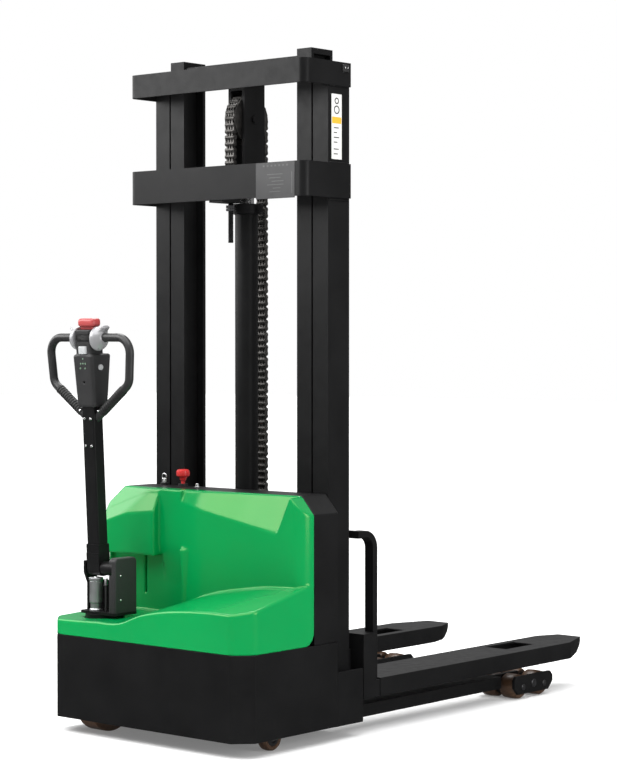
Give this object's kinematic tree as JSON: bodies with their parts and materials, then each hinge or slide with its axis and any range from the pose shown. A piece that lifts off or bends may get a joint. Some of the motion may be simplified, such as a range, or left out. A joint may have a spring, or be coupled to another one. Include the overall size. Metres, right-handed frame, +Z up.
{
  "type": "walkie stacker",
  "caption": "Electric pedestrian stacker: two-stage mast with chain lift, forks nesting over support legs, steered tiller with loop handle and moulded hood.",
  "frame": {"origin": "on the floor, in the middle of the footprint's bounding box", "axes": "+X to the operator's right, +Y from the tiller towards the fork tips, +Z up"},
  "size_m": [0.8522, 1.78, 2.022],
  "materials": {
    "painted_black": "satin powder coat",
    "hood_green": "high gloss moulded",
    "red_plastic": "gloss",
    "grey_plastic": "satin",
    "black_plastic": "fine texture",
    "handle_black": "soft grip with ribs",
    "bare_aluminium": "matt",
    "bright_steel": "polished",
    "chain_steel": "oiled",
    "wheel_polyurethane": "moulded polyurethane",
    "cast_housing": "cast"
  },
  "bodies": {
    "chassis": {"base_frame": "painted_black", "bumper_skirt": "painted_black", "hood": "hood_green", "rear_cover": "painted_black", "outer_rail_left": "painted_black", "outer_rail_right": "painted_black", "support_leg_left": "painted_black", "support_leg_right": "painted_black", "upper_crossbeam": "painted_black", "lower_crossbeam": "painted_black", "cylinder_barrel": "painted_black", "cylinder_gland": "painted_black", "chain_anchor_bolt": "chain_steel", "battery": "black_plastic", "pump_unit": "painted_black", "motor_controller": "bare_aluminium", "switch_collars": "black_plastic", "chain_front_strand": "chain_steel"},
    "estop": {"estop_button": "red_plastic"},
    "key": {"key": "bright_steel"},
    "steering": {"gearbox": "cast_housing", "drive_motor": "cast_housing", "swivel_yoke": "painted_black", "pivot_housing": "black_plastic", "pivot_shaft": "painted_black", "return_spring": "bright_steel"},
    "plunger": {"return_plunger": "bright_steel"},
    "drive_wheel": {"drive_wheel": "wheel_polyurethane"},
    "tiller": {"tiller_arm": "painted_black", "tiller_head": "black_plastic", "handle_loop": "handle_black"},
    "throttle": {"throttle": "grey_plastic"},
    "belly_switch": {"belly_switch": "red_plastic"},
    "horn_button": {"horn_button": "grey_plastic"},
    "raise_button": {"raise_button": "black_plastic"},
    "lower_button": {"lower_button": "black_plastic"},
    "caster": {"caster_fork": "bright_steel"},
    "caster_wheel": {"caster_wheel": "wheel_polyurethane"},
    "bogie_left": {"bogie_left": "painted_black"},
    "bogie_right": {"bogie_right": "painted_black"},
    "wheel_left_front": {"load_wheel_left_front": "wheel_polyurethane"},
    "wheel_left_rear": {"load_wheel_left_rear": "wheel_polyurethane"},
    "wheel_right_front": {"load_wheel_right_front": "wheel_polyurethane"},
    "wheel_right_rear": {"load_wheel_right_rear": "wheel_polyurethane"},
    "inner_mast": {"inner_rail_left": "painted_black", "inner_rail_right": "painted_black", "inner_top_bracket": "painted_black", "inner_bottom_crossmember": "painted_black", "piston_rod": "bright_steel", "chain_rear_strand": "chain_steel"},
    "sheave": {"chain_sheave": "chain_steel"},
    "upper_mast_rollers": {"mast_rollers_upper": "chain_steel"},
    "lower_mast_rollers": {"mast_rollers_lower": "chain_steel"},
    "carriage": {"carriage_frame": "painted_black", "fork_left": "painted_black", "fork_right": "painted_black", "load_guard_left": "painted_black", "load_guard_right": "painted_black"},
    "upper_carriage_rollers": {"carriage_rollers_upper": "chain_steel"},
    "lower_carriage_rollers": {"carriage_rollers_lower": "chain_steel"}
  },
  "joints": [
    {"name": "tiller_steer", "type": "hinge", "parent": "chassis", "child": "steering", "pos_m": [-0.23587, -0.778, 0.352], "axis": [0, 0, 1], "range_deg": [-80, 80]},
    {"name": "drive_wheel_spin", "type": "hinge", "parent": "steering", "child": "drive_wheel", "pos_m": [-0.23587, -0.778, 0.095], "axis": [1, 0, 0], "continuous": true},
    {"name": "tiller_tilt", "type": "hinge", "parent": "steering", "child": "tiller", "pos_m": [-0.24587, -0.794, 0.487], "axis": [1, 0, 0], "range_deg": [0, 80], "stiffness_Nm_per_rad": 10, "springref_deg": -91.67},
    {"name": "plunger_slide", "type": "slide", "parent": "steering", "child": "plunger", "axis": [0, 0, 1], "range_m": [-0.0225, 0]},
    {"name": "throttle_twist", "type": "hinge", "parent": "tiller", "child": "throttle", "pos_m": [-0.24587, -0.83001, 1.17406], "axis": [1, 0, 0], "range_deg": [-28, 28], "stiffness_Nm_per_rad": 0.6},
    {"name": "belly_switch_press", "type": "slide", "parent": "tiller", "child": "belly_switch", "axis": [0, 0.0523, -0.9986], "range_m": [0, 0.006], "stiffness_N_per_m": 900, "springref_m": -0.003},
    {"name": "horn_press", "type": "slide", "parent": "tiller", "child": "horn_button", "axis": [0, 0.9986, 0.0523], "range_m": [0, 0.003], "stiffness_N_per_m": 600, "springref_m": -0.002},
    {"name": "raise_press", "type": "slide", "parent": "tiller", "child": "raise_button", "axis": [-1, 0, 0], "range_m": [0, 0.003], "stiffness_N_per_m": 600, "springref_m": -0.002},
    {"name": "lower_press", "type": "slide", "parent": "tiller", "child": "lower_button", "axis": [1, 0, 0], "range_m": [0, 0.003], "stiffness_N_per_m": 600, "springref_m": -0.002},
    {"name": "estop_press", "type": "slide", "parent": "chassis", "child": "estop", "axis": [0, 0, -1], "range_m": [0, 0.005], "stiffness_N_per_m": 900, "springref_m": -0.003},
    {"name": "key_turn", "type": "hinge", "parent": "chassis", "child": "key", "pos_m": [-0.25387, -0.505, 0.727], "axis": [0, 0, 1], "range_deg": [0, 60]},
    {"name": "mast_lift", "type": "slide", "parent": "chassis", "child": "inner_mast", "axis": [0, 0, 1], "range_m": [-0.035, 1.35], "deforming": ["chain_front_strand"]},
    {"name": "carriage_lift", "type": "slide", "parent": "inner_mast", "child": "carriage", "axis": [0, 0, 1], "range_m": [-0.035, 1.35], "deforming": ["chain_rear_strand"]},
    {"name": "sheave_spin", "type": "hinge", "parent": "inner_mast", "child": "sheave", "pos_m": [0.02613, -0.435, 1.83], "axis": [1, 0, 0], "range_deg": [-35, 1105]},
    {"name": "upper_mast_roller_spin", "type": "hinge", "parent": "chassis", "child": "upper_mast_rollers", "pos_m": [0.02613, -0.42, 1.929], "axis": [1, 0, 0], "range_deg": [-2130, 65]},
    {"name": "lower_mast_roller_spin", "type": "hinge", "parent": "inner_mast", "child": "lower_mast_rollers", "pos_m": [0.02613, -0.42, 0.16], "axis": [1, 0, 0], "range_deg": [-65, 2130]},
    {"name": "upper_carriage_roller_spin", "type": "hinge", "parent": "carriage", "child": "upper_carriage_rollers", "pos_m": [0.02613, -0.42, 0.43], "axis": [1, 0, 0], "range_deg": [-2130, 65]},
    {"name": "lower_carriage_roller_spin", "type": "hinge", "parent": "carriage", "child": "lower_carriage_rollers", "pos_m": [0.02613, -0.42, 0.23], "axis": [1, 0, 0], "range_deg": [-65, 2130]},
    {"name": "caster_swivel", "type": "hinge", "parent": "chassis", "child": "caster", "pos_m": [0.35913, -0.725, 0.1], "axis": [0, 0, 1], "continuous": true},
    {"name": "caster_wheel_spin", "type": "hinge", "parent": "caster", "child": "caster_wheel", "pos_m": [0.35913, -0.707, 0.0375], "axis": [1, 0, 0], "continuous": true},
    {"name": "bogie_left_rock", "type": "hinge", "parent": "chassis", "child": "bogie_left", "pos_m": [-0.26387, 0.55, 0.047], "axis": [1, 0, 0], "range_deg": [-3, 3]},
    {"name": "wheel_left_front_spin", "type": "hinge", "parent": "bogie_left", "child": "wheel_left_front", "pos_m": [-0.26387, 0.609, 0.04], "axis": [1, 0, 0], "continuous": true},
    {"name": "wheel_left_rear_spin", "type": "hinge", "parent": "bogie_left", "child": "wheel_left_rear", "pos_m": [-0.26387, 0.491, 0.04], "axis": [1, 0, 0], "continuous": true},
    {"name": "bogie_right_rock", "type": "hinge", "parent": "chassis", "child": "bogie_right", "pos_m": [0.31613, 0.55, 0.047], "axis": [1, 0, 0], "range_deg": [-3, 3]},
    {"name": "wheel_right_front_spin", "type": "hinge", "parent": "bogie_right", "child": "wheel_right_front", "pos_m": [0.31613, 0.609, 0.04], "axis": [1, 0, 0], "continuous": true},
    {"name": "wheel_right_rear_spin", "type": "hinge", "parent": "bogie_right", "child": "wheel_right_rear", "pos_m": [0.31613, 0.491, 0.04], "axis": [1, 0, 0], "continuous": true}
  ],
  "couplings": [
    {"joint": "plunger_slide", "follows": "tiller_tilt", "m_per_rad": -0.016},
    {"joint": "carriage_lift", "follows": "mast_lift", "ratio": 1},
    {"joint": "sheave_spin", "follows": "mast_lift", "rad_per_m": 14.184},
    {"joint": "upper_mast_roller_spin", "follows": "mast_lift", "rad_per_m": -27.473},
    {"joint": "lower_mast_roller_spin", "follows": "mast_lift", "rad_per_m": 27.473},
    {"joint": "upper_carriage_roller_spin", "follows": "mast_lift", "rad_per_m": -27.473},
    {"joint": "lower_carriage_roller_spin", "follows": "mast_lift", "rad_per_m": 27.473}
  ]
}
